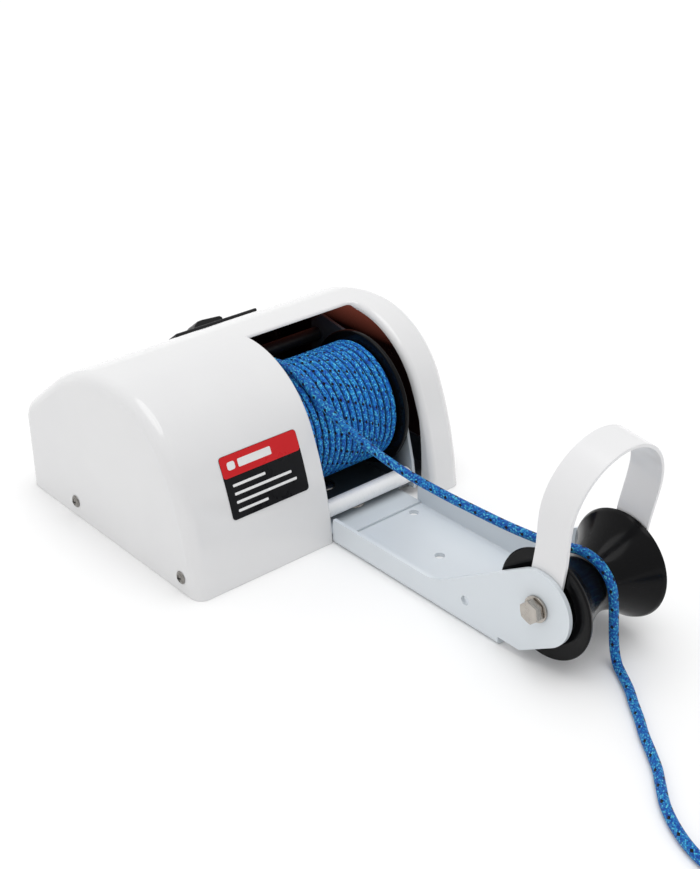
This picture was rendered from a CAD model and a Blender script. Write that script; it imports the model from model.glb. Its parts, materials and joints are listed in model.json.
"""Looks of the anchor windlass: fine meshes, materials, rope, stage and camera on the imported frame."""

import bisect
import json
import math
import random

import bmesh
import bpy
from mathutils import Matrix, Vector

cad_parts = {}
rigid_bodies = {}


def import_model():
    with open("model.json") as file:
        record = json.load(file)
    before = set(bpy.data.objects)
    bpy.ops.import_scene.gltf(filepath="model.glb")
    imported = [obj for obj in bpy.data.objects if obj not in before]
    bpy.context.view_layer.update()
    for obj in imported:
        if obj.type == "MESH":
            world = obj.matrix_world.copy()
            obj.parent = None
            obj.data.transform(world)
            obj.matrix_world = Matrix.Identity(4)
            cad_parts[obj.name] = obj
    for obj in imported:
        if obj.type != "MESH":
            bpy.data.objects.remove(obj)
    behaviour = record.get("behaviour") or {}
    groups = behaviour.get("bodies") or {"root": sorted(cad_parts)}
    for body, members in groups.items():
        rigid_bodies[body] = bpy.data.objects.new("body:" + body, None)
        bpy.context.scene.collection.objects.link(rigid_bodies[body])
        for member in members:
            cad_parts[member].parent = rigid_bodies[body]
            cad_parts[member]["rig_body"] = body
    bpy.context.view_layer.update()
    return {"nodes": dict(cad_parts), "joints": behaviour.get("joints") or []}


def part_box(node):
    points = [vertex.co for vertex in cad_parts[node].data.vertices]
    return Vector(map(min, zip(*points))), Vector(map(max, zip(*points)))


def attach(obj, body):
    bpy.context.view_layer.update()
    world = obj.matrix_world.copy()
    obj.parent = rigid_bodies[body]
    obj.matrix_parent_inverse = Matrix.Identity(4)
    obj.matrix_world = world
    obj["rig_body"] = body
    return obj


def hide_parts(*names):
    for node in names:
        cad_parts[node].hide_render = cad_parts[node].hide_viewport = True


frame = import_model()
JOINTS = {joint["name"]: joint for joint in frame["joints"]}

# ---------------------------------------------------------------- places from the frame, and sizes
COVER_LOW, COVER_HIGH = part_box("cover")
REAR_X, FRONT_X = COVER_LOW[0], COVER_HIGH[0]
COVER_HALF_WIDTH = COVER_HIGH[1]
COVER_LIFT = COVER_LOW[2]
DRUM, ROLLER, BAIL, ROCKER = (
    Vector(JOINTS[name]["pos_m"]) for name in ("drum_turn", "roller_turn", "bail_swing", "rocker_tilt"))
ROCKER_AXIS = Vector(JOINTS["rocker_tilt"]["axis"])

# cover form
REAR_WALL_HEIGHT = 0.0535
REAR_CORNER_RADIUS = 0.020
REAR_SLOPE = math.atan2(ROCKER_AXIS.z, ROCKER_AXIS.x)
REAR_SLOPE_LENGTH = 0.0433
CROWN_REAR_RADIUS = 0.133
CROWN_FRONT_RADIUS = 0.0721
CROWN_FRONT_TURN = math.radians(66.4)
END_FILLET = 0.009
OPENING_NEAR_Y = -0.0045
OPENING_FAR_Y = 0.0887
OPENING_BACK = 0.0025
LIP_RADIUS = 0.0048
EDGE_RADIUS = 0.002
LIP_GROWTH = 0.006
RETURN_DEPTH = 0.065
RETURN_SLOPE = 0.15
TONGUE_Y = (-0.0035, 0.0740)
CORNER_RADIUS = 0.006
CORNER_BEND = (0.002, 0.020)        # past the corner's arc, where the bend fades out
COVER_WALL = 0.0025

# rope form
ROPE_RADIUS = 0.003
BRAID_PITCH = 0.024
STRANDS = 16
TRACER_EVERY = 8


def centre_of(node):
    """The middle of a CAD node's box."""
    low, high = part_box(node)
    return (Vector(low) + Vector(high)) / 2


def smooth(share):
    """An even share from 0 to 1, eased at both ends."""
    return share * share * (3 - 2 * share)


# ---------------------------------------------------------------- materials
def add(tree, kind, inputs=None, **settings):
    """Add a shader node, set its fields, and give its inputs values or links."""
    node = tree.nodes.new(kind)
    for key, value in settings.items():
        setattr(node, key, value)
    for key, value in (inputs or {}).items():
        if isinstance(value, bpy.types.NodeSocket):
            tree.links.new(value, node.inputs[key])
        else:
            node.inputs[key].default_value = value
    return node


def math_node(tree, operation, *values):
    """The result of one Math node."""
    return add(tree, "ShaderNodeMath", dict(enumerate(values)), operation=operation).outputs[0]


def vector_node(tree, operation, *values, output="Vector"):
    """The result of one Vector Math node."""
    return add(tree, "ShaderNodeVectorMath", dict(enumerate(values)), operation=operation).outputs[output]


def mix(tree, fac, first, second):
    """A blend of two numbers."""
    return add(tree, "ShaderNodeMix", {0: fac, 2: first, 3: second}).outputs[0]


def mix_colour(tree, fac, first, second, blend_type="MIX"):
    """A blend of two colours."""
    inputs = {0: fac, 6: first, 7: second}
    return add(tree, "ShaderNodeMix", inputs, data_type="RGBA", blend_type=blend_type).outputs[2]


def surface(name, colour, roughness, metallic=0.0, coat=0.0, specular=0.5):
    """A Principled material with plain sockets, and its tree and shader."""
    made = bpy.data.materials.new(name)
    made.use_nodes = True
    tree = made.node_tree
    shader = tree.nodes["Principled BSDF"]
    shader.inputs["Base Color"].default_value = (*colour, 1.0)
    shader.inputs["Roughness"].default_value = roughness
    shader.inputs["Metallic"].default_value = metallic
    shader.inputs["Specular IOR Level"].default_value = specular
    shader.inputs["Coat Weight"].default_value = coat
    shader.inputs["Coat Roughness"].default_value = 0.05
    return made, tree, shader


def noise(tree, scale, detail, stretch=None):
    """Noise over the object's own coordinates, in metres, stretched per axis if asked."""
    place = add(tree, "ShaderNodeTexCoord").outputs["Object"]
    if stretch:
        place = add(tree, "ShaderNodeMapping", {"Vector": place, "Scale": stretch}).outputs[0]
    return add(tree, "ShaderNodeTexNoise", {"Vector": place, "Scale": scale, "Detail": detail}).outputs["Fac"]


def between(tree, fac, low, high, from_low=0.3, from_high=0.7):
    """Map a value from one range of numbers to another."""
    inputs = {"Value": fac, "From Min": from_low, "From Max": from_high, "To Min": low, "To Max": high}
    return add(tree, "ShaderNodeMapRange", inputs).outputs["Result"]


def tints(tree, fac, stops):
    """A colour ramp over (place, colour) stops."""
    ramp = add(tree, "ShaderNodeValToRGB", {"Fac": fac})
    elements = ramp.color_ramp.elements
    while len(elements) < len(stops):
        elements.new(0.5)
    for element, (place, colour) in zip(elements, stops):
        element.position = place
        element.color = (*colour, 1.0)
    return ramp.outputs["Color"]


def vary_colour(tree, shader, fac, *stops):
    """Colour the shader by a ramp."""
    tree.links.new(tints(tree, fac, stops), shader.inputs["Base Color"])


def vary_gloss(tree, shader, fac, low, high, *span):
    """Vary the shader's roughness between two values."""
    tree.links.new(between(tree, fac, low, high, *span), shader.inputs["Roughness"])


def bump(tree, shader, height, strength, distance):
    """Drive the shader's normal from a height."""
    node = add(tree, "ShaderNodeBump", {"Height": height, "Strength": strength, "Distance": distance})
    tree.links.new(node.outputs["Normal"], shader.inputs["Normal"])


def moulded_gloss(name, colour, shade, roughness=0.13, coat=0.35, specular=0.5):
    """Glossy moulding: faint mottling, a slight ripple and uneven gloss."""
    made, tree, shader = surface(name, colour, roughness, coat=coat, specular=specular)
    vary_colour(tree, shader, noise(tree, 14.0, 4.0), (0.35, shade), (0.62, colour))
    vary_gloss(tree, shader, noise(tree, 90.0, 4.0), roughness * 0.75, roughness * 1.5)
    bump(tree, shader, noise(tree, 420.0, 2.0), 0.05, 0.0003)
    return made


def along_axis(tree, axis):
    """The object's own coordinate along one axis, in metres."""
    place = add(tree, "ShaderNodeTexCoord").outputs["Object"]
    return add(tree, "ShaderNodeSeparateXYZ", {"Vector": place}).outputs[axis]


def lit_through(made):
    """Let a little light glow through a thin moulding from outside, most of it high up on the far side."""
    tree = made.node_tree
    shader = tree.nodes["Principled BSDF"]
    shader.inputs["Emission Color"].default_value = (0.60, 0.15, 0.10, 1.0)
    sideways = between(tree, along_axis(tree, "Y"), 0.03, 0.30, 0.010, 0.085)
    upwards = between(tree, along_axis(tree, "Z"), 0.0, 1.0, 0.085, 0.112)
    tree.links.new(math_node(tree, "MULTIPLY", sideways, upwards), shader.inputs["Emission Strength"])
    return made


def powder_coat(name, colour, shade, roughness=0.32):
    """Powder-coated sheet metal: faint orange peel and broad soft clouding."""
    made, tree, shader = surface(name, colour, roughness, coat=0.12)
    vary_colour(tree, shader, noise(tree, 9.0, 2.0), (0.0, shade), (1.0, colour))
    vary_gloss(tree, shader, noise(tree, 25.0, 2.0), roughness * 0.85, roughness * 1.2, 0.0, 1.0)
    bump(tree, shader, noise(tree, 700.0, 2.0), 0.06, 0.0001)
    return made


def shaded_sheet(name):
    """The bracket's coat on the chassis, left as dark primer where the cover hides it."""
    made, tree, shader = surface(name, (0.55, 0.60, 0.64), 0.36, coat=0.08)
    bar_x = centre_of("front_tie_bar").x
    ahead = between(tree, along_axis(tree, "X"), 0.0, 1.0, bar_x - 0.012, bar_x + 0.010)
    vary_colour(tree, shader, ahead, (0.0, (0.045, 0.060, 0.075)), (1.0, (0.62, 0.67, 0.71)))
    bump(tree, shader, noise(tree, 500.0, 2.0), 0.06, 0.0002)
    return made


def turned_metal(name, colour, shade, roughness, grain=0.06, metallic=1.0):
    """Bare metal with fine tool marks that run round an axis along Y."""
    made, tree, shader = surface(name, colour, roughness, metallic=metallic)
    marks = noise(tree, 160.0, 5.0, stretch=(1.0, 40.0, 1.0))
    vary_colour(tree, shader, marks, (0.3, shade), (0.7, colour))
    vary_gloss(tree, shader, marks, roughness * 0.75, roughness * 1.5)
    bump(tree, shader, marks, grain, 0.0002)
    return made


def satin_black(name, colour=(0.010, 0.010, 0.011), roughness=0.38):
    """Satin black moulding with a spark-eroded grain."""
    made, tree, shader = surface(name, colour, roughness, specular=0.25)
    vary_gloss(tree, shader, noise(tree, 300.0, 3.0), roughness * 0.8, roughness * 1.3)
    bump(tree, shader, noise(tree, 1500.0, 2.0), 0.25, 0.0003)
    return made


def braid_cells(tree):
    """The braid's two strand counts at a point, from the rope's own lengthwise coordinates."""
    place = add(tree, "ShaderNodeUVMap", uv_map="rope_run").outputs["UV"]
    split = add(tree, "ShaderNodeSeparateXYZ", {"Vector": place})
    along = math_node(tree, "MULTIPLY", split.outputs["X"], STRANDS / BRAID_PITCH)
    around = math_node(tree, "MULTIPLY", split.outputs["Y"], float(STRANDS))
    right = math_node(tree, "ADD", around, along)
    left = math_node(tree, "SUBTRACT", around, along)
    return right, left


def in_first(tree, value, count, every):
    """1 where a strand is among the first few of every so many, else 0."""
    return math_node(tree, "LESS_THAN", math_node(tree, "WRAP", value, float(every), 0.0), count - 0.5)


def seam_shade(tree, height, wound):
    """How bright the braid is: darker between strands and, wound, between the drum's turns."""
    shade = between(tree, height, 0.34, 1.25 if wound else 0.88, 0.10, 0.60)
    if not wound:
        return shade
    place = add(tree, "ShaderNodeTexCoord").outputs
    out = vector_node(tree, "ADD", place["Object"], (-DRUM.x, 0.0, -DRUM.z))
    out = vector_node(tree, "NORMALIZE", vector_node(tree, "MULTIPLY", out, (1.0, 0.0, 1.0)))
    facing = vector_node(tree, "DOT_PRODUCT", out, place["Normal"], output="Value")
    return math_node(tree, "MULTIPLY", shade, between(tree, facing, 0.04, 1.0, 0.25, 0.80))


def braided_rope(name, wound=False):
    """Blue braid with black tracers."""
    made, tree, shader = surface(name, (0.01, 0.10, 0.42), 0.5, specular=0.25)
    right, left = braid_cells(tree)
    cells = [math_node(tree, "FLOOR", value) for value in (right, left)]
    inside = [math_node(tree, "FRACT", value) for value in (right, left)]
    over = math_node(tree, "WRAP", math_node(tree, "ADD", *cells), 2.0, 0.0)
    upper = math_node(tree, "GREATER_THAN", over, 0.5)
    humps = [math_node(tree, "SINE", math_node(tree, "MULTIPLY", value, math.pi)) for value in inside]
    crown = mix(tree, upper, humps[0], humps[1])
    run = mix(tree, upper, humps[1], humps[0])
    lift = math_node(tree, "MULTIPLY_ADD", run, 0.35, 0.65)
    height = math_node(tree, "MULTIPLY", math_node(tree, "POWER", crown, 0.6), lift)

    key = add(tree, "ShaderNodeCombineXYZ", {"X": cells[0], "Y": cells[1]}).outputs[0]
    pick = add(tree, "ShaderNodeTexWhiteNoise", {"Vector": key}, noise_dimensions="2D")
    body = tints(tree, pick.outputs["Value"], [
        (0.0, (0.003, 0.065, 0.410)), (0.45, (0.009, 0.150, 0.600)),
        (0.80, (0.018, 0.330, 0.760)), (0.97, (0.120, 0.640, 0.880)),
    ])
    black = math_node(tree, "MULTIPLY", *(in_first(tree, value, 2, TRACER_EVERY) for value in cells))
    body = mix_colour(tree, black, body, (0.003, 0.003, 0.008, 1.0))
    body = mix_colour(tree, 1.0, body, seam_shade(tree, height, wound), blend_type="MULTIPLY")
    tree.links.new(body, shader.inputs["Base Color"])
    bump(tree, shader, height, 0.9, 0.0005)
    return made


def machined_steel(name, colour, roughness):
    """Grey machined steel with cloudy oil marks."""
    made, tree, shader = surface(name, colour, roughness, metallic=1.0)
    cloud = noise(tree, 60.0, 5.0)
    vary_colour(tree, shader, cloud, (0.3, tuple(c * 0.7 for c in colour)), (0.7, colour))
    vary_gloss(tree, shader, cloud, roughness * 0.8, roughness * 1.4)
    bump(tree, shader, noise(tree, 1200.0, 3.0), 0.08, 0.0002)
    return made


def grey(level):
    """A colour without a tint."""
    return (level, level, level)


PAINTS = {
    "cover_gloss": moulded_gloss("cover_white", (0.745, 0.745, 0.75), (0.725, 0.725, 0.732)),
    "cover_inside": lit_through(
        moulded_gloss("cover_inside_brown", (0.030, 0.012, 0.010), (0.022, 0.009, 0.008), 0.3, 0.0)),
    "bracket_paint": powder_coat("bracket_powder", (0.685, 0.73, 0.765), (0.665, 0.71, 0.75)),
    "chassis_paint": shaded_sheet("chassis_primer"),
    "bail_paint": powder_coat("bail_powder", (0.77, 0.77, 0.775), (0.75, 0.75, 0.76), 0.24),
    "black_gloss": moulded_gloss(
        "roller_black", (0.0045, 0.0045, 0.005), (0.003, 0.003, 0.0035), 0.16, 0.0, 0.12),
    "switch_black": satin_black("switch_satin"),
    "stainless": turned_metal("stainless_steel", (0.50, 0.47, 0.43), (0.36, 0.33, 0.30), 0.24),
    "screw_steel": turned_metal("screw_head_steel", (0.30, 0.29, 0.27), (0.20, 0.19, 0.18), 0.24),
    "bright_steel": turned_metal(
        "bright_bar", (0.95, 0.955, 0.96), (0.92, 0.93, 0.94), 0.32, grain=0.01, metallic=0.15),
    "gear_steel": machined_steel("gear_metal", (0.40, 0.40, 0.41), 0.36),
    "bush_bronze": turned_metal("bush_metal", (0.55, 0.37, 0.17), (0.42, 0.27, 0.12), 0.32),
    "motor_paint": powder_coat("motor_enamel", (0.030, 0.031, 0.035), (0.022, 0.023, 0.026), 0.4),
    "magnet_ferrite": satin_black("ferrite", (0.05, 0.05, 0.055), 0.7),
    "rubber_black": satin_black("gland_rubber", grey(0.02), 0.7),
    "rope_braid": braided_rope("rope_braid_blue"),
    "rope_wound": braided_rope("rope_braid_wound", wound=True),
    "label_red": moulded_gloss(
        "label_red_film", (0.60, 0.020, 0.024), (0.56, 0.016, 0.020), 0.3, 0.0, 0.15),
    "label_black": moulded_gloss(
        "label_black_film", (0.010, 0.010, 0.011), (0.007, 0.007, 0.008), 0.3, 0.0, 0.15),
    "label_white": moulded_gloss("label_white_film", grey(0.80), grey(0.76), 0.3, 0.0),
}

# ---------------------------------------------------------------- mesh helpers
ALONG_Y = Matrix.Rotation(-math.pi / 2, 4, "X")         # local Z laid along Y
FACING_Y = Matrix.Rotation(math.pi / 2, 4, "X")         # local XY drawn in the XZ plane
FACING_X = Matrix.Rotation(math.pi / 2, 4, "Z") @ FACING_Y  # local XY drawn in the YZ plane


def new_object(name, data):
    """A linked object for a mesh, a curve, a camera or a lamp."""
    made = bpy.data.objects.new(name, data)
    bpy.context.scene.collection.objects.link(made)
    return made


def built_object(name, built, matrix=Matrix.Identity(4)):
    """A linked object from a finished bmesh, moved by a matrix."""
    mesh = bpy.data.meshes.new(name)
    built.to_mesh(mesh)
    built.free()
    mesh.transform(matrix)
    return new_object(name, mesh)


def evaluated_mesh(made):
    """An object's mesh with its modifiers applied."""
    bpy.context.view_layer.update()
    return bpy.data.meshes.new_from_object(
        made.evaluated_get(bpy.context.evaluated_depsgraph_get()))


def settle(made):
    """Apply an object's modifiers to it."""
    mesh = evaluated_mesh(made)
    made.modifiers.clear()
    made.data = mesh
    return made


def cut(made, cutter, operation="DIFFERENCE"):
    """Boolean one object with another, apply it and remove the other."""
    step = made.modifiers.new("cut", "BOOLEAN")
    step.operation = operation
    step.solver = "EXACT"
    step.object = cutter
    settle(made)
    bpy.data.objects.remove(cutter, do_unlink=True)
    return made


def soften(made, width, segments, angle=40):
    """Round an object's sharp edges."""
    step = made.modifiers.new("soften", "BEVEL")
    step.width = width
    step.segments = segments
    step.limit_method = "ANGLE"
    step.angle_limit = math.radians(angle)
    step.use_clamp_overlap = True
    return settle(made)


def piece(made, paint, body, *nodes, inner=None, angle=38):
    """Paint a finished mesh, shade it, and set the body and the CAD nodes it stands for."""
    faces = [face.material_index if inner else 0 for face in made.data.polygons]
    made.data.materials.clear()
    for used in filter(None, (paint, inner)):
        made.data.materials.append(PAINTS[used])
    made.data.polygons.foreach_set("material_index", faces)
    made.data.shade_smooth()
    made.data.set_sharp_from_angle(angle=math.radians(angle))
    even = made.modifiers.new("even", "WEIGHTED_NORMAL")
    even.keep_sharp = True
    settle(made)
    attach(made, body)
    if nodes:
        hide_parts(*nodes)
    return made


def arc(centre, radius, from_deg, to_deg, count):
    """Points along an arc, both ends included."""
    turns = [math.radians(from_deg + (to_deg - from_deg) * i / count) for i in range(count + 1)]
    return [(centre[0] + radius * math.cos(t), centre[1] + radius * math.sin(t)) for t in turns]


def mirrored(points):
    """Points mirrored in the first axis, in the opposite order."""
    return [(x, -y) for x, y in reversed(points)]


def fillet(points, radius, closed=True, steps=4):
    """Round the corners of a polygon, as far as its sides allow."""
    made = []
    count = len(points)
    for i, here in enumerate(points):
        corner = Vector(here)
        a, b = Vector(points[i - 1]) - corner, Vector(points[(i + 1) % count]) - corner
        angle = a.angle(b, math.pi)
        if angle > math.radians(176) or (not closed and i in (0, count - 1)):
            made.append(tuple(here))
            continue
        reach = min(radius / math.tan(angle / 2), a.length * 0.45, b.length * 0.45)
        bow = reach * math.tan(angle / 2)
        a, b = a.normalized(), b.normalized()
        middle = corner + (a + b).normalized() * math.hypot(reach, bow)
        first, last = corner + a * reach - middle, corner + b * reach - middle
        for k in range(steps + 1):
            share = k / steps
            swing = first.slerp(last, share) * first.length if first.angle(last, 0) > 1e-4 else first
            made.append(tuple(middle + swing))
    return made


def flat_piece(name, outline, thickness, matrix, edge=0.0):
    """An extruded outline with rounded edges, centred on its thickness."""
    curve = bpy.data.curves.new(name, "CURVE")
    curve.dimensions = "2D"
    curve.fill_mode = "BOTH"
    curve.extrude = thickness / 2 - edge
    curve.bevel_depth = edge
    curve.bevel_resolution = 2
    curve.offset = -edge
    spline = curve.splines.new("POLY")
    spline.points.add(len(outline) - 1)
    for point, (x, y) in zip(spline.points, outline):
        point.co = (x, y, 0.0, 1.0)
    spline.use_cyclic_u = True
    guide = new_object(name, curve)
    mesh = evaluated_mesh(guide)
    bpy.data.objects.remove(guide, do_unlink=True)
    built = bmesh.new()
    built.from_mesh(mesh)
    bmesh.ops.remove_doubles(built, verts=built.verts, dist=1e-6)
    bmesh.ops.recalc_face_normals(built, faces=built.faces)
    return built_object(name, built, matrix)


def lathe(name, profile, matrix, steps=96):
    """A closed profile of (radius, height) turned about local Z."""
    built = bmesh.new()
    ring = [built.verts.new((r, 0.0, h)) for r, h in profile]
    solid = profile[0][0] == 0.0 and profile[-1][0] == 0.0
    pairs = list(zip(ring, ring[1:])) + ([] if solid else [(ring[-1], ring[0])])
    edges = [built.edges.new(pair) for pair in pairs]
    bmesh.ops.spin(built, geom=ring + edges, cent=(0, 0, 0), axis=(0, 0, 1),
                   angle=2 * math.pi, steps=steps, use_merge=True, use_duplicate=False)
    bmesh.ops.remove_doubles(built, verts=built.verts, dist=1e-7)
    bmesh.ops.recalc_face_normals(built, faces=built.faces)
    return built_object(name, built, matrix)


def at(x, y, z, turn=Matrix.Identity(4)):
    """A placement: a turn, then a move."""
    return Matrix.Translation((x, y, z)) @ turn


def block(name, size, matrix):
    """A box about its own middle."""
    built = bmesh.new()
    bmesh.ops.create_cube(built, size=1.0, matrix=Matrix.Diagonal((*size, 1.0)))
    return built_object(name, built, matrix)


def bar(name, radius, length, matrix, sides=48):
    """A cylinder about its own middle, along local Z."""
    built = bmesh.new()
    bmesh.ops.create_cone(built, cap_ends=True, segments=sides, radius1=radius, radius2=radius,
                          depth=length)
    return built_object(name, built, matrix)


def drill(made, radius, length, matrix, sides=48):
    """Bore a round hole through an object."""
    return cut(made, bar("hole", radius, length, matrix, sides))


def refined(node, paint, width):
    """A copy of a CAD node with rounded edges, standing for it."""
    source = frame["nodes"][node]
    built = bmesh.new()
    built.from_mesh(source.data)
    bmesh.ops.remove_doubles(built, verts=built.verts, dist=1e-6)
    bmesh.ops.dissolve_limit(built, angle_limit=math.radians(0.5), verts=built.verts,
                             edges=built.edges)
    made = built_object(node + "_fine", built)
    if width:
        soften(made, width, 2)
    return piece(made, paint, source["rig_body"], node)


# ---------------------------------------------------------------- camera
CAMERA_PLACE = (0.63978, -0.54113, 0.52790)
CAMERA_AZIMUTH = math.radians(49.46)
CAMERA_ELEVATION = math.radians(27.94)
CAMERA_ROLL = math.radians(-0.48)


def build_camera():
    """The camera, at the photograph's angle."""
    data = bpy.data.cameras.new("camera")
    data.lens = 60.18
    data.sensor_width = 36.0
    data.clip_start = 0.01
    camera = new_object("camera", data)
    turn = (Matrix.Rotation(CAMERA_AZIMUTH, 4, "Z")
            @ Matrix.Rotation(math.pi / 2 - CAMERA_ELEVATION, 4, "X")
            @ Matrix.Rotation(CAMERA_ROLL, 4, "Z"))
    camera.matrix_world = at(*CAMERA_PLACE, turn)
    bpy.context.scene.camera = camera


# ---------------------------------------------------------------- rope
# The free line's route, as in the CAD: round the winding, over the roller, down and along the deck.
LINE_ROUTE = (
    (-0.1049, 0.0042, 0.0913), (-0.0957, 0.0042, 0.0997), (-0.0867, 0.0042, 0.1046),
    (-0.0785, 0.0042, 0.1072), (-0.0687, 0.0044, 0.1082), (-0.0565, 0.0050, 0.1066),
    (-0.0454, 0.0060, 0.1020), (-0.0290, 0.0070, 0.0925), (-0.0136, 0.0085, 0.0850),
    (0.0116, 0.0114, 0.0757), (0.0309, 0.0137, 0.0704), (0.0495, 0.0159, 0.0668),
    (0.0767, 0.0191, 0.0639), (0.1036, 0.0223, 0.0622), (0.1260, 0.0249, 0.0613),
    (0.1476, 0.0275, 0.0616), (0.1600, 0.0290, 0.0630), (0.1700, 0.0301, 0.0649),
    (0.1796, 0.0313, 0.0662), (0.1890, 0.0323, 0.0643), (0.1963, 0.0331, 0.0592),
    (0.2015, 0.0337, 0.0514), (0.2035, 0.0341, 0.0420), (0.2045, 0.0344, 0.0310),
    (0.2056, 0.0344, 0.0200), (0.2082, 0.0332, 0.0100), (0.2133, 0.0302, 0.0042),
    (0.2205, 0.0258, 0.0030), (0.2326, 0.0178, 0.0030), (0.2426, 0.0097, 0.0030),
    (0.2532, 0.0016, 0.0030), (0.2645, -0.0078, 0.0030), (0.2761, -0.0162, 0.0030),
    (0.2870, -0.0245, 0.0030), (0.2960, -0.0330, 0.0030), (0.3080, -0.0440, 0.0030),
    (0.3220, -0.0530, 0.0030), (0.3370, -0.0595, 0.0030), (0.3530, -0.0628, 0.0030),
    (0.3622, -0.0630, 0.0030),
)
COIL_CENTRE = (0.389, -0.019)
COIL_MEAN_RADIUS = 0.035
COIL_COLUMNS = 4
COIL_SQUEEZE = 0.995        # share of the rope's width between two turns of the coil
COIL_CLIMB = 0.7            # share of a turn over which the coil rises to its upper level
LAYER_STEP = 0.0052
TAIL_ROUTE = (
    (0.4336, 0.0050, 0.0072), (0.4332, 0.0130, 0.0055), (0.4322, 0.0220, 0.0042),
    (0.4308, 0.0320, 0.0042), (0.4298, 0.0420, 0.0046), (0.4292, 0.0490, 0.0048),
)
EYE = Vector((0.4260, 0.0830, 0.0048))
NECK_Y = (0.0500, 0.0600)
LEG_OFFSET = 0.0032
EYE_RADIUS = 0.0136


def smooth_route(points, spacing):
    """Points at an even spacing along a Catmull-Rom curve through the given points."""
    knots = [Vector(p) for p in points]
    knots = [2 * knots[0] - knots[1]] + knots + [2 * knots[-1] - knots[-2]]
    fine = []
    for i in range(1, len(knots) - 2):
        a, b, c, d = knots[i - 1:i + 3]
        for k in range(24):
            t = k / 24
            fine.append(0.5 * ((2 * b) + (c - a) * t + (2 * a - 5 * b + 4 * c - d) * t * t
                               + (3 * b - a - 3 * c + d) * t ** 3))
    fine.append(knots[-2])
    lengths = [0.0]
    for a, b in zip(fine, fine[1:]):
        lengths.append(lengths[-1] + (b - a).length)
    count = max(2, round(lengths[-1] / spacing))
    even = []
    j = 0
    for i in range(count + 1):
        target = lengths[-1] * i / count
        while j < len(lengths) - 2 and lengths[j + 1] < target:
            j += 1
        even.append(fine[j].lerp(fine[j + 1], (target - lengths[j]) / (lengths[j + 1] - lengths[j])))
    return even


def coil_points():
    """The put-away coil: in towards the middle on the deck, then out again on top."""
    half = (COIL_COLUMNS - 1) / 2
    steps = 30
    points = []
    for i in range(int((2 * COIL_COLUMNS + 0.25) * steps) + 1):
        turn = i / steps
        angle = 2 * math.pi * (turn - 0.25)
        if turn < COIL_COLUMNS:
            place = half - min(turn, COIL_COLUMNS - 1)
            level = max(0.0, (turn - (COIL_COLUMNS - COIL_CLIMB)) / COIL_CLIMB)
        else:
            place = -half + min(turn - COIL_COLUMNS, COIL_COLUMNS - 1)
            level = 1.0
        radius = COIL_MEAN_RADIUS + place * 2 * ROPE_RADIUS * COIL_SQUEEZE
        points.append((COIL_CENTRE[0] + radius * math.cos(angle),
                       COIL_CENTRE[1] + radius * math.sin(angle),
                       ROPE_RADIUS + LAYER_STEP * smooth(level)))
    return points


def line_points(spacing):
    """The whole free line: route, coil, tail and eye."""
    around = [(EYE.x + x, EYE.y + y, EYE.z) for x, y in arc((0, 0), EYE_RADIUS, -29, 209, 14)]
    right, left = EYE.x + LEG_OFFSET, EYE.x - LEG_OFFSET
    eye = [(right, NECK_Y[1], EYE.z)] + around
    eye += [(left, NECK_Y[1], EYE.z), (left, NECK_Y[0], EYE.z), (left, NECK_Y[0] - 0.003, EYE.z)]
    knots = list(LINE_ROUTE) + coil_points()[2:] + list(TAIL_ROUTE) + eye
    return smooth_route(knots, spacing)


WINDING_LAYERS = 5
WINDING_TURNS = 16
WINDING_STEPS = 40          # points in a turn
WINDING_TOP = 0.0405        # radius of the top layer, to the middle of the rope
LINE_RADIUS = 0.0472        # radius of the free line's start on the winding
LINE_CLIMB = 0.39           # share of a turn over which the rope rises to that start
LAYER_CLIMB = 0.25          # share of a turn over which it rises to the next layer
WANDER = 0.00022            # how far a turn strays sideways
END_GAP = 0.0025            # from the end turns' middle to the winding's ends
ROPE_NARROW = 0.85          # turns squeezed side by side


def winding_points():
    """The rope on the drum, from its inner end on the hub to where the free line begins."""
    random.seed(11)
    spool_low, spool_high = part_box("rope_winding")
    low, high = spool_low[1] + END_GAP, spool_high[1] - END_GAP
    start = Vector(LINE_ROUTE[0])
    end_angle = math.atan2(start.x - DRUM.x, start.z - DRUM.z)
    full = WINDING_LAYERS * WINDING_TURNS
    total = full + LINE_CLIMB
    wander = [random.uniform(-1, 1) for _ in range(int(total) * 4 + 12)]
    points = []
    steps = int(total * WINDING_STEPS)
    for i in range(steps + 1):
        turn = total * i / steps
        layer = min(int(turn // WINDING_TURNS), WINDING_LAYERS)
        within = turn - layer * WINDING_TURNS
        if layer == WINDING_LAYERS:
            rise = smooth(within / LINE_CLIMB)
            y = low + (start.y - low) * rise
            radius = WINDING_TOP + (LINE_RADIUS - WINDING_TOP) * rise
        else:
            share = min(max((within - 0.5) / (WINDING_TURNS - 1), 0.0), 1.0)
            y = low + (high - low) * (share if layer % 2 else 1 - share)
            radius = WINDING_TOP - (WINDING_LAYERS - 1 - layer) * LAYER_STEP
            if layer:
                radius -= LAYER_STEP * (1 - min(within / LAYER_CLIMB, 1.0))
        if 0.5 < turn < full - 0.5:
            place = int(turn * 4)
            share = smooth(turn * 4 - place)
            drift = wander[place] * (1 - share) + wander[place + 1] * share
            y = min(max(y + drift * WANDER, low), high)
        angle = end_angle - (total - turn) * 2 * math.pi
        points.append(Vector((DRUM.x + radius * math.sin(angle), y,
                              DRUM.z + radius * math.cos(angle))))
    return points


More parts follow.
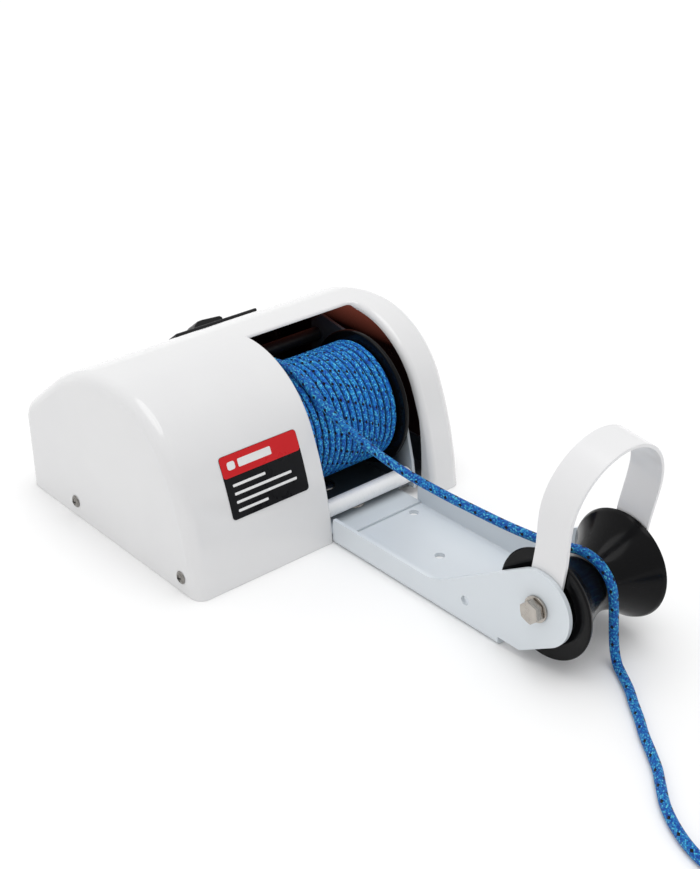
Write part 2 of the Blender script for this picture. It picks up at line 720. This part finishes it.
def rope_mesh(name, points, sides, narrow=1.0):
    """A tube along points, narrowed along Y if asked, with lengthwise coordinates for its braid."""
    built = bmesh.new()
    layer = built.loops.layers.uv.new("rope_run")
    last = len(points) - 1
    tangents = [(points[min(i + 1, last)] - points[max(i - 1, 0)]).normalized()
                for i in range(last + 1)]
    normal = tangents[0].orthogonal().normalized()
    rings, runs = [], [0.0]
    for i, (point, tangent) in enumerate(zip(points, tangents)):
        if i:
            normal = tangents[i - 1].rotation_difference(tangent) @ normal
            runs.append(runs[-1] + (point - points[i - 1]).length)
        normal = (normal - tangent * normal.dot(tangent)).normalized()
        side = tangent.cross(normal)
        ring = []
        for k in range(sides):
            swing = 2 * math.pi * k / sides
            reach = (normal * math.cos(swing) + side * math.sin(swing)) * ROPE_RADIUS
            reach.y *= narrow
            ring.append(built.verts.new(point + reach))
        rings.append(ring)
    for i in range(last):
        for k in range(sides):
            n = (k + 1) % sides
            face = built.faces.new((rings[i][k], rings[i][n], rings[i + 1][n], rings[i + 1][k]))
            for loop, (u, v) in zip(face.loops, ((i, k), (i, k + 1), (i + 1, k + 1), (i + 1, k))):
                loop[layer].uv = (runs[u], v / sides)
    for ring, at_run in ((list(reversed(rings[0])), runs[0]), (rings[-1], runs[-1])):
        for loop in built.faces.new(ring).loops:
            loop[layer].uv = (at_run, 0.0)
    return built_object(name, built)


def joined(objects):
    """Join meshes into the first one."""
    for made in objects:
        made.select_set(True)
    bpy.context.view_layer.objects.active = objects[0]
    with bpy.context.temp_override(active_object=objects[0], selected_editable_objects=objects):
        bpy.ops.object.join()
    return objects[0]


def dress_rope(made, paint, body, *nodes):
    """Paint a rope and set its body; its material keeps the lengthwise coordinates."""
    made.data.materials.clear()
    made.data.materials.append(PAINTS[paint])
    made.data.shade_smooth()
    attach(made, body)
    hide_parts(*nodes)
    return made


def build_rope():
    """The rope on the drum, the free line, and the fittings of its eye."""
    winding = winding_points()
    top_layer = (WINDING_LAYERS - 1) * WINDING_TURNS * WINDING_STEPS
    inner, outer = winding[:top_layer + 1], winding[top_layer:]
    inner_mesh = rope_mesh("rope_on_drum", inner, 10, ROPE_NARROW)
    outer_fine = smooth_route(outer, 0.0015)
    outer_mesh = rope_mesh("rope_on_drum_top", outer_fine, 20, ROPE_NARROW)
    on_drum = dress_rope(joined([inner_mesh, outer_mesh]), "rope_wound", "drum", "rope_winding")

    line = line_points(0.0012)
    free = rope_mesh("anchor_line", line, 28)
    dress_rope(free, "rope_braid", "frame", "rope_line", "rope_coil", "rope_tail")
    thimble = build_thimble()
    sleeve = refined("crimp_sleeve", "stainless", 0.0004)


def build_thimble():
    """The round thimble in the eye: a grooved ring with rolled edges."""
    groove = 0.0100
    outside = [(groove + 0.0022, 0.0036), (groove + 0.0018, 0.0031), (groove + 0.0004, 0.0020),
               (groove, 0.0008)]
    inside = [(groove - 0.0004, -0.0034), (groove - 0.0014, -0.0016)]
    profile = outside + mirrored(outside) + inside + mirrored(inside)
    made = lathe("rope_thimble_fine", fillet(profile, 0.0004, steps=2), at(*EYE), 64)
    return piece(made, "stainless", "frame", "rope_thimble")


# ---------------------------------------------------------------- cover
def outline_points():
    """Points (x, z, heading) of the side outline, rear foot to front foot, and the crown's place."""
    points = []
    step = math.radians(1.5)

    def put_arc(x, z, heading, radius, turn):
        count = max(3, math.ceil(turn / step))
        centre = (x + radius * math.sin(heading), z - radius * math.cos(heading))
        for i in range(1, count + 1):
            now = heading - turn * i / count
            points.append((centre[0] - radius * math.sin(now), centre[1] + radius * math.cos(now), now))
        return points[-1]

    upright = math.pi / 2
    for z in (0.0, 0.004, REAR_WALL_HEIGHT / 2, REAR_WALL_HEIGHT):
        points.append((REAR_X, z, upright))
    x, z, heading = put_arc(REAR_X, REAR_WALL_HEIGHT, upright, REAR_CORNER_RADIUS, upright - REAR_SLOPE)
    for share in (0.5, 1.0):
        points.append((x + REAR_SLOPE_LENGTH * share * math.cos(REAR_SLOPE),
                       z + REAR_SLOPE_LENGTH * share * math.sin(REAR_SLOPE), heading))
    x, z, heading = put_arc(*points[-1], CROWN_REAR_RADIUS, REAR_SLOPE)
    crown = len(points) - 1
    x, z, heading = put_arc(x, z, heading, CROWN_FRONT_RADIUS, CROWN_FRONT_TURN)
    chord = math.hypot(FRONT_X - x, z)
    half_turn = heading - math.atan2(-z, FRONT_X - x)
    put_arc(x, z, heading, chord / (2 * math.sin(half_turn)), 2 * half_turn)
    return points, crown


OUTLINE, CROWN = outline_points()
RUNS = [0.0]
for before, after in zip(OUTLINE, OUTLINE[1:]):
    RUNS.append(RUNS[-1] + math.dist(before[:2], after[:2]))
CROWN_RUN = RUNS[CROWN] - OPENING_BACK
RETURN_RUN = next(run for run, point in zip(RUNS, OUTLINE)
                  if run > CROWN_RUN and OUTLINE[CROWN][1] - point[1] > RETURN_DEPTH)


def on_skin(run, y, inset):
    """The point of the cover's outer skin at a run along the outline, sunk by an inset."""
    j = min(bisect.bisect_right(RUNS, run), len(RUNS) - 1) - 1
    share = (run - RUNS[j]) / (RUNS[j + 1] - RUNS[j])
    x, z, heading = (a + (b - a) * share for a, b in zip(OUTLINE[j], OUTLINE[j + 1]))
    return (x + math.sin(heading) * inset, y, max(z - math.cos(heading) * inset, 0.0) + COVER_LIFT)


def roll(distance, radius):
    """How far a quarter round has sunk at a distance from its lowest edge."""
    if distance >= radius:
        return 0.0
    return radius - math.sqrt(radius ** 2 - (radius - distance) ** 2)


def roll_steps(radius, count):
    """Distances from an edge at even angles round a quarter circle."""
    return [radius * (1 - math.cos(math.pi / 2 * i / count)) for i in range(count + 1)]


def round_corner(run, y):
    """Bend the opening's square far top corner, and the lines round it, into an arc."""
    across = y - (OPENING_FAR_Y - CORNER_RADIUS)
    back = CROWN_RUN + CORNER_RADIUS - run
    reach = max(across, back)
    fade_from, fade_to = CORNER_BEND
    if across <= 0.0 or back <= 0.0 or reach > CORNER_RADIUS + fade_to:
        return run, y
    turn = math.pi / 4 * (across / back if across < back else 2 - back / across)
    strength = 1 - max(reach - CORNER_RADIUS - fade_from, 0.0) / (fade_to - fade_from)
    across += (reach * math.sin(turn) - across) * strength
    back += (reach * math.cos(turn) - back) * strength
    return CROWN_RUN + CORNER_RADIUS - back, OPENING_FAR_Y - CORNER_RADIUS + across


def lip_drop(run, y):
    """How far the skin turns in near the opening's edges."""
    if y <= OPENING_NEAR_Y:
        return roll(math.hypot(OPENING_NEAR_Y - y, max(CROWN_RUN - run, 0.0)), EDGE_RADIUS)
    across = y - (OPENING_FAR_Y - CORNER_RADIUS)
    if across <= 0.0:
        return roll(max(CROWN_RUN - run, 0.0), EDGE_RADIUS)
    back = max(CROWN_RUN + CORNER_RADIUS - run, 0.0)
    growth = min(max((run - CROWN_RUN) / LIP_GROWTH, 0.0), 1.0)
    radius = EDGE_RADIUS + (LIP_RADIUS - EDGE_RADIUS) * smooth(growth)
    reach = math.hypot(across, back) - CORNER_RADIUS
    turned_in = RETURN_SLOPE * max(run - RETURN_RUN, 0.0) if reach < 1e-5 else 0.0
    return roll(max(reach, 0.0), radius) + turned_in


def cover_skin():
    """The cover's outer skin as an open surface with its opening."""
    rows = [run for run in RUNS if run < CROWN_RUN - EDGE_RADIUS * 1.2]
    rows += [CROWN_RUN - d for d in reversed(roll_steps(EDGE_RADIUS, 4))]
    crown_row = len(rows) - 1
    rows += RUNS[CROWN + 1:]
    ends = roll_steps(END_FILLET, 8)
    half = COVER_HALF_WIDTH
    columns = [-half + d for d in ends] + [-0.085, -0.060, -0.035, -0.015]
    columns += [OPENING_NEAR_Y - d for d in reversed(roll_steps(EDGE_RADIUS, 4))]
    near_column = len(columns) - 1
    columns += [0.016, 0.037, 0.058]
    columns += [OPENING_FAR_Y - CORNER_RADIUS * k / 4 for k in (4, 3, 2, 1)]
    far_column = len(columns)
    columns += [OPENING_FAR_Y + d for d in roll_steps(LIP_RADIUS, 8)]
    columns += [0.097] + [half - d for d in reversed(ends)]

    built = bmesh.new()
    grid = []
    for run in rows:
        line = []
        for y in columns:
            run_here, y_here = round_corner(run, y)
            inset = lip_drop(run_here, y_here) + roll(half - abs(y_here), END_FILLET)
            line.append(built.verts.new(on_skin(run_here, y_here, inset)))
        grid.append(line)
    for i in range(len(rows) - 1):
        for k in range(len(columns) - 1):
            if i >= crown_row and near_column <= k < far_column:
                continue
            built.faces.new((grid[i][k], grid[i][k + 1], grid[i + 1][k + 1], grid[i + 1][k]))
    for k, flip in ((0, False), (len(columns) - 1, True)):
        end = [line[k] for line in grid]
        built.faces.new(list(reversed(end)) if flip else end)
    bmesh.ops.delete(built, geom=[v for v in built.verts if not v.link_faces], context="VERTS")
    bmesh.ops.recalc_face_normals(built, faces=built.faces)
    top = max(built.faces, key=lambda f: f.calc_center_median().z)
    if top.normal.z < 0:
        bmesh.ops.reverse_faces(built, faces=built.faces)
    return built_object("cover_shell", built)


def slope_matrix():
    """The switch's place on the rear slope: local X up the slope, local Z out of it."""
    out = Vector((-math.sin(REAR_SLOPE), 0, math.cos(REAR_SLOPE)))
    return at(*(ROCKER + out * 0.002), Matrix.Rotation(-REAR_SLOPE, 4, "Y"))


COVER_SCREWS = [f"cover_screw_{number}" for number in (1, 2, 3, 4)]
SCREW_HOLE_RADIUS = 0.0024
GLAND_HOLE_RADIUS = 0.0068
SWITCH_HOLE = (0.0246, 0.0376, 0.030)


def build_cover():
    """The white cover, brown inside, with its screw, switch and cable holes."""
    shell = cover_skin()
    thick = shell.modifiers.new("thick", "SOLIDIFY")
    thick.thickness = COVER_WALL
    thick.offset = -1.0
    thick.use_even_offset = True
    thick.material_offset = 1
    thick.material_offset_rim = 0
    for paint in ("cover_gloss", "cover_inside"):
        shell.data.materials.append(PAINTS[paint])
    settle(shell)
    for node in COVER_SCREWS:
        drill(shell, SCREW_HOLE_RADIUS, 0.016, at(*centre_of(node), FACING_Y), 32)
    gland = centre_of("cable_gland")
    through_rear = at(REAR_X, gland.y, gland.z, Matrix.Rotation(math.pi / 2, 4, "Y"))
    drill(shell, GLAND_HOLE_RADIUS, 0.012, through_rear, 40)
    cut(shell, block("hole", SWITCH_HOLE, slope_matrix()))
    soften(shell, 0.0005, 3, 50)
    piece(shell, "cover_gloss", "frame", "cover", inner="cover_inside")


def build_cover_screws():
    """Pan-head screws with cross recesses."""
    dome = arc((0.0, -0.0046), 0.0068, 90, 50, 8)
    profile = dome + [(0.0045, 0.0003), (0.0020, 0.0003), (0.0020, -0.0105), (0.0, -0.0115)]
    recess_arm, recess_lift, recess_turn = (0.0050, 0.0011, 0.0030), 0.0022, 0.35
    for node in COVER_SCREWS:
        place = centre_of(node)
        side = math.copysign(1, place.y)
        matrix = at(place.x, side * COVER_HALF_WIDTH, place.z, Matrix.Rotation(-side * math.pi / 2, 4, "X"))
        screw = lathe(node + "_fine", profile, matrix, 48)
        for spin in (recess_turn, recess_turn + math.pi / 2):
            across = at(0, 0, recess_lift, Matrix.Rotation(spin, 4, "Z"))
            cut(screw, block("arm", recess_arm, matrix @ across))
        soften(screw, 0.00012, 2, 45)
        piece(screw, "screw_steel", "frame", node)


def decal(name, sides, runs, lift, radius, paint, *nodes):
    """A film patch with round corners, wrapped over the front of the cover."""
    (y_low, y_high), (run_low, run_high) = sides, runs
    steps = roll_steps(radius, 5)
    middle = [y_low + radius + (y_high - y_low - 2 * radius) * k / 8 for k in range(1, 8)]
    down = 24
    built = bmesh.new()
    grid = []
    for y in [y_low + d for d in steps] + middle + [y_high - d for d in reversed(steps)]:
        inset = roll(min(y - y_low, y_high - y), radius)
        low, high = run_low + inset, run_high - inset
        grid.append([built.verts.new(on_skin(low + (high - low) * k / down, y, -lift))
                     for k in range(down + 1)])
    for a, b in zip(grid, grid[1:]):
        for k in range(down):
            built.faces.new((a[k], a[k + 1], b[k + 1], b[k]))
    bmesh.ops.recalc_face_normals(built, faces=built.faces)
    built.faces.ensure_lookup_table()
    if built.faces[0].normal.x < 0:
        bmesh.ops.reverse_faces(built, faces=built.faces)
    made = built_object(name, built)
    film = made.modifiers.new("film", "SOLIDIFY")
    film.thickness = 0.00012
    film.offset = -1.0
    settle(made)
    return piece(made, paint, "frame", *nodes)


def build_label():
    """A blank two-tone plate: a red band over a black field, with plain bars."""
    low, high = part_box("label")
    front = [(run, point[1] + COVER_LIFT) for run, point in zip(RUNS[CROWN:], OUTLINE[CROWN:])]
    top = next(run for run, z in front if z < high[2])
    foot = next(run for run, z in front if z < low[2])
    edge = top + (foot - top) * 0.345
    left, right = low[1], high[1]
    trim, title_trim = 0.0002, 0.0046
    title_runs = (top + title_trim, edge - title_trim)
    decal("label_field", (left, right), (top, foot), 0.00030, 0.0025, "label_black", "label")
    decal("label_band", (left + trim, right - trim), (top + trim, edge), 0.00038, 0.0022, "label_red")
    decal("label_mark", (left + 0.0050, left + 0.0110), title_runs, 0.00046, 0.0016, "label_white")
    decal("label_title", (left + 0.0135, left + 0.0400), title_runs, 0.00046, 0.0008, "label_white")
    bar_left, bar_gap, bar_height = left + 0.0055, 0.0056, 0.0018
    for number, length in enumerate((0.026, 0.046, 0.049, 0.024)):
        start = edge + 0.0048 + number * bar_gap
        decal(f"label_bar_{number + 1}", (bar_left, bar_left + length), (start, start + bar_height),
              0.00040, 0.0006, "label_white")


# ---------------------------------------------------------------- bracket
BRACKET_SHEET = 0.0028
BRACKET_BEND = 0.0035               # outer radius of the bends
EAR_RADIUS = 0.0248
EAR_SLOPE = 31.5                    # degrees of the ear's straight edges
FLANGE_HEIGHT = 0.0187
FLANGE_BLEND = 0.030                # radius between the flange and the ear's upper edge
TOE_HEIGHT = 0.0060
FLOOR_FRONT = 0.1498
FLOOR_HOLES = ((0.0053, 0.02495), (0.0053, -0.02495), (0.0574, 0.0))    # x, and y from the middle
FLOOR_HOLE_RADIUS = 0.0035
WALL_HOLE = (0.1212, 0.0179)
WALL_HOLE_RADIUS = 0.0033
BOLT_FLATS = 0.013
BOLT_RADIUS = 0.0040
BOLT_HOLE_RADIUS = 0.0044
BOLT_CHAMFER = 0.0007


def bracket_section(half, wall_top):
    """The bracket's channel section: two walls bent up from a floor."""
    bend, inner = BRACKET_BEND, BRACKET_BEND - BRACKET_SHEET
    section = [(-half, wall_top)]
    section += arc((-half + bend, bend), bend, 180, 270, 8)
    section += arc((half - bend, bend), bend, 270, 360, 8)
    section += [(half, wall_top), (half - BRACKET_SHEET, wall_top)]
    section += arc((half - bend, bend), inner, 0, -90, 5)
    section += arc((-half + bend, bend), inner, 270, 180, 5)
    return section + [(-half + BRACKET_SHEET, wall_top)]


def bracket_side(rear):
    """The bracket's side view: low flanges that rise to an ear round the roller bolt."""
    slope = math.radians(EAR_SLOPE)
    reach_x, reach_z = math.sin(slope) * EAR_RADIUS, math.cos(slope) * EAR_RADIUS
    knee_x = ROLLER.x - reach_x - (ROLLER.z + reach_z - FLANGE_HEIGHT) / math.tan(slope)
    toe_x = ROLLER.x + reach_x - (ROLLER.z - reach_z - TOE_HEIGHT) / math.tan(slope)
    blend = (knee_x - FLANGE_BLEND * math.tan(slope / 2), FLANGE_HEIGHT + FLANGE_BLEND)
    side = [(rear, -0.001), (FLOOR_FRONT, -0.001), (FLOOR_FRONT, TOE_HEIGHT), (toe_x, TOE_HEIGHT)]
    side += arc((ROLLER.x, ROLLER.z), EAR_RADIUS, -90 + EAR_SLOPE, 90 + EAR_SLOPE, 48)
    side += arc(blend, FLANGE_BLEND, -90 + EAR_SLOPE, -90, 8)
    return side + [(rear, FLANGE_HEIGHT)]


def build_bow_bracket():
    """The bow bracket, bent from sheet, with rounded edges and drilled holes."""
    low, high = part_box("bow_bracket")
    middle_y, half = (low[1] + high[1]) / 2, (high[1] - low[1]) / 2
    past = 0.002                    # how far the sheet stands past the side view before it is cut
    rear, front = FRONT_X + 0.0006, ROLLER.x + EAR_RADIUS + past
    bracket = flat_piece("bow_bracket_fine", bracket_section(half, ROLLER.z + EAR_RADIUS + past),
                         front - rear, at((rear + front) / 2, middle_y, 0, FACING_X))
    side = flat_piece("side", bracket_side(rear - past), 3 * half, at(0, middle_y, 0, FACING_Y))
    cut(bracket, side, "INTERSECT")
    tongue_low, tongue_high = TONGUE_Y
    tongue_front, thick = rear + 0.004, BRACKET_SHEET - 0.0001
    tongue = block("tongue", (tongue_front - low[0], tongue_high - tongue_low, thick),
                   at((tongue_front + low[0]) / 2, (tongue_high + tongue_low) / 2, thick / 2))
    cut(bracket, tongue, "UNION")
    for x, aside in FLOOR_HOLES:
        drill(bracket, FLOOR_HOLE_RADIUS, 0.010, at(x, middle_y + aside, 0))
    for node in ("bracket_bolt_1", "bracket_bolt_2"):
        bolt = centre_of(node)
        drill(bracket, BOLT_HOLE_RADIUS, 0.010, at(bolt.x, bolt.y, 0))
    drill(bracket, BOLT_HOLE_RADIUS, 0.12, at(ROLLER.x, middle_y, ROLLER.z, FACING_Y))
    drill(bracket, WALL_HOLE_RADIUS, 0.12, at(WALL_HOLE[0], middle_y, WALL_HOLE[1], FACING_Y))
    soften(bracket, 0.0006, 3)
    piece(bracket, "bracket_paint", "frame", "bow_bracket")


def build_roller_bolt():
    """The hexagon bolt with its chamfered head, washers and lock nut."""
    low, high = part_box("roller_bolt")
    head_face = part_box("near_washer")[0][1] - 0.0003
    corner, height = BOLT_FLATS / math.sqrt(3), head_face - low[1]
    turned = FACING_Y @ Matrix.Rotation(0.2, 4, "Z")
    head = bar("roller_bolt_fine", corner, height,
               at(ROLLER.x, (head_face + low[1]) / 2, ROLLER.z, turned), 6)
    dome = [(0.0, height), (corner + 0.001, height), (corner + 0.001, BOLT_CHAMFER),
            (BOLT_FLATS / 2 * 0.95, 0.0), (0.0, 0.0)]
    cut(head, lathe("dome", dome, at(ROLLER.x, low[1], ROLLER.z, ALONG_Y)), "INTERSECT")
    soften(head, 0.0002, 2, 25)
    length = high[1] - head_face + 0.001
    shank = [(0.0, length), (BOLT_RADIUS - 0.0008, length), (BOLT_RADIUS, length - 0.0008),
             (BOLT_RADIUS, 0.0), (0.0, 0.0)]
    cut(head, lathe("shank", shank, at(ROLLER.x, head_face - 0.001, ROLLER.z, ALONG_Y), 48), "UNION")
    piece(head, "stainless", "frame", "roller_bolt", angle=25)
    outer, bore = 0.0085, 0.0043
    for node in ("near_washer", "far_washer"):
        low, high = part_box(node)
        thick = high[1] - low[1]
        ring = fillet([(outer, thick), (outer, 0.0), (bore, 0.0), (bore, thick)], 0.0003, steps=3)
        washer = lathe(node + "_fine", ring, at(ROLLER.x, low[1], ROLLER.z, ALONG_Y))
        piece(washer, "stainless", "frame", node)
    refined("lock_nut", "stainless", 0.0004)


# ---------------------------------------------------------------- roller and bail
def build_roller():
    """The glossy trumpet roller with rounded rims."""
    low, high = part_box("anchor_roller")
    half = (high[1] - low[1]) / 2
    rim = (high[2] - low[2]) / 2
    waist, bore, steps = 0.0195, 0.0068, 36
    rounding, recess, recess_rim, recess_floor = 0.0012, 0.004, 0.025, 0.020
    reach = half - 0.002
    flare = [(waist + (rim - waist) * abs(i / steps) ** 1.8, reach * i / steps)
             for i in range(steps - 1, -steps, -1)]
    lip = [(rim - rounding + rounding * math.sin(t), half - rounding + rounding * math.cos(t))
           for t in (0.0, 0.35, 0.7, 1.05, 1.4)]
    inside = [(recess_rim, -half), (recess_floor, recess - half), (bore, recess - half)]
    inside = fillet(inside + mirrored(inside), 0.001, closed=False)
    profile = lip + flare + mirrored(lip) + inside
    roller = lathe("anchor_roller_fine", profile, at(*ROLLER, ALONG_Y), 128)
    piece(roller, "black_gloss", "roller", "anchor_roller", angle=50)
    refined("roller_bush", "bush_bronze", 0.0003)


def build_bail():
    """The flat strip hoop: rounded feet, a soft crease where the bend starts, rounded edges."""
    sheet, reach, top_radius, straight = 0.0024, 0.012, 0.040, 0.0645
    foot_half, free = 0.03735, 0.032
    edge, lean = 0.0005, math.radians(7.6)

    def half_width(height):
        if height <= free:
            return foot_half
        return foot_half + (top_radius - foot_half) * smooth((height - free) / (straight - free))

    feet = [reach * math.sin(math.radians(a)) for a in (-89, -80, -68, -55, -40, -25, -12)]
    heights = feet + [0.0, 0.008, 0.016, 0.024, free]
    heights += [free + (straight - free) * k / 10 for k in range(1, 11)]
    leg = [(-half_width(h), h, math.sqrt(reach ** 2 - min(h, 0.0) ** 2)) for h in heights]
    top = [(x, z, reach) for x, z in arc((0, straight), top_radius, 180, 0, 48)[1:-1]]
    stations = leg + top + [(-y, h, w) for y, h, w in reversed(leg)]
    built = bmesh.new()
    rings = []
    for i, (y, h, w) in enumerate(stations):
        before, after = stations[max(i - 1, 0)], stations[min(i + 1, len(stations) - 1)]
        along = Vector((after[0] - before[0], after[1] - before[1])).normalized()
        inward = Vector((along.y, -along.x))
        shape = fillet([(-w, 0), (w, 0), (w, sheet), (-w, sheet)], min(edge, w * 0.45), steps=3)
        rings.append([built.verts.new((x, y + inward.x * t, h + inward.y * t)) for x, t in shape])
    for a, b in zip(rings, rings[1:]):
        for k in range(len(a)):
            n = (k + 1) % len(a)
            built.faces.new((a[k], a[n], b[n], b[k]))
    built.faces.new(list(reversed(rings[0])))
    built.faces.new(rings[-1])
    bmesh.ops.recalc_face_normals(built, faces=built.faces)
    bail = built_object("rope_bail_fine", built, at(*BAIL, Matrix.Rotation(lean, 4, "Y")))
    drill(bail, 0.0043, 0.12, at(*BAIL, FACING_Y))
    piece(bail, "bail_paint", "bail", "rope_bail", angle=50)


# ---------------------------------------------------------------- drum, tie bars, switch
def build_drum():
    """The black spool with rounded rims."""
    low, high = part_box("drum_spool")
    half, rim = (high[1] - low[1]) / 2, (high[2] - low[2]) / 2
    near_rim, flange, hub, bore = 0.0438, 0.0035, 0.0163, 0.0063
    sides = [(rim, half), (rim, half - flange), (hub, half - flange), (hub, flange - half),
             (near_rim, flange - half), (near_rim, -half), (bore, -half), (bore, half)]
    spool = lathe("drum_spool_fine", fillet(sides, 0.0011, steps=4), at(*DRUM, ALONG_Y), 144)
    piece(spool, "black_gloss", "drum", "drum_spool", angle=50)


def build_tie_bars():
    """The tie bars with chamfered ends."""
    chamfer = 0.0006
    for node, paint in (("front_tie_bar", "bright_steel"), ("rear_tie_bar", "switch_black")):
        low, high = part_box(node)
        radius, length = (high[2] - low[2]) / 2, high[1] - low[1]
        profile = [(0.0, length), (radius - chamfer, length), (radius, length - chamfer), (radius, chamfer),
                   (radius - chamfer, 0.0), (0.0, 0.0)]
        middle = centre_of(node)
        made = lathe(node + "_fine", profile, at(middle.x, low[1], middle.z, ALONG_Y), 64)
        piece(made, paint, "frame", node)


def build_switch():
    """The rocker's shaped key; the panel and body keep their form with rounded edges."""
    half, width, foot = 0.0142, 0.017, -0.0005
    shape = [(-half, foot), (-half, 0.0030), (-0.0125, 0.0062), (-0.0100, 0.0092), (-0.0070, 0.0110),
             (-0.0030, 0.0112), (0.0125, 0.0100), (half, 0.0085), (half, foot)]
    shape = fillet(shape, 0.0012, steps=3)
    shape += arc((0.0, -0.001), 0.0075, -25, -155, 16)
    matrix = at(*ROCKER, Matrix.Rotation(-REAR_SLOPE, 4, "Y") @ FACING_X)
    key = flat_piece("switch_rocker_fine", shape, width, matrix, edge=0.0007)
    piece(key, "switch_black", "rocker", "switch_rocker", angle=30)
    for node in ("switch_panel", "switch_body"):
        refined(node, "switch_black", 0.0003)


# paint, edge width, and the CAD nodes that keep their form
REFINED_NODES = (
    ("chassis_paint", 0.0004, "base_plate"),
    ("chassis_paint", 0.0005, "near_side_plate", "far_side_plate"),
    ("gear_steel", 0.0004, "gear_plate"),
    ("stainless", 0.0002, "bracket_bolt_1", "bracket_bolt_2"),
    ("bright_steel", 0.0, *(f"gear_plate_spacer_{number}" for number in (1, 2, 3, 4))),
    ("bush_bronze", 0.0003, "near_drum_bush", "far_drum_bush", "inner_idler_bush", "outer_idler_bush"),
    ("motor_paint", 0.0, "motor_can"),
    ("switch_black", 0.0, "motor_end_cap"),
    ("magnet_ferrite", 0.0003, "motor_magnet_1", "motor_magnet_2"),
    ("switch_black", 0.0010, "relay_box"),
    ("switch_black", 0.0, "relay_box_lid"),
    ("rubber_black", 0.0003, "cable_gland"),
    ("bright_steel", 0.0, "drum_shaft"),
    ("stainless", 0.0001, "near_shaft_clip", "far_shaft_clip"),
    ("gear_steel", 0.0, "drum_gear", "idler_gear", "idler_pinion", "motor_pinion"),
    ("bright_steel", 0.0, "idler_shaft", "motor_shaft"),
    ("gear_steel", 0.0004, "motor_armature"),
    ("bush_bronze", 0.0003, "motor_commutator"),
)


# ---------------------------------------------------------------- stage
def build_stage():
    """A pale floor, soft studio light and a white surround, a little brighter above and behind."""
    floor = block("studio_floor", (60.0, 60.0, 0.02), at(0, 0, -0.0101))
    floor.data.materials.append(surface("floor_white", (0.93, 0.93, 0.93), 0.6, specular=0.2)[0])
    world = bpy.data.worlds.new("studio")
    bpy.context.scene.world = world
    world.use_nodes = True
    tree = world.node_tree
    background = tree.nodes["Background"]
    background.inputs["Color"].default_value = (1.0, 1.0, 1.0, 1.0)
    direction = add(tree, "ShaderNodeTexCoord").outputs["Generated"]
    tilt = vector_node(tree, "DOT_PRODUCT", direction, (-0.15, 0.0, 0.06), output="Value")
    tree.links.new(math_node(tree, "ADD", tilt, 0.78), background.inputs["Strength"])
    data = bpy.data.lights.new("overhead", "SUN")
    data.energy = 1.05
    data.angle = math.radians(50)
    lamp = new_object("overhead", data)
    lamp.rotation_euler = Vector((-0.08, 0.0, -1.0)).to_track_quat("-Z", "Y").to_euler()
    bpy.context.scene.view_settings.view_transform = "Standard"


def main():
    """Build everything."""
    build_camera()
    build_rope()
    build_cover()
    build_cover_screws()
    build_label()
    build_bow_bracket()
    build_roller_bolt()
    build_roller()
    build_bail()
    build_drum()
    build_tie_bars()
    build_switch()
    for paint, width, *nodes in REFINED_NODES:
        for node in nodes:
            refined(node, paint, width)
    build_stage()


main()
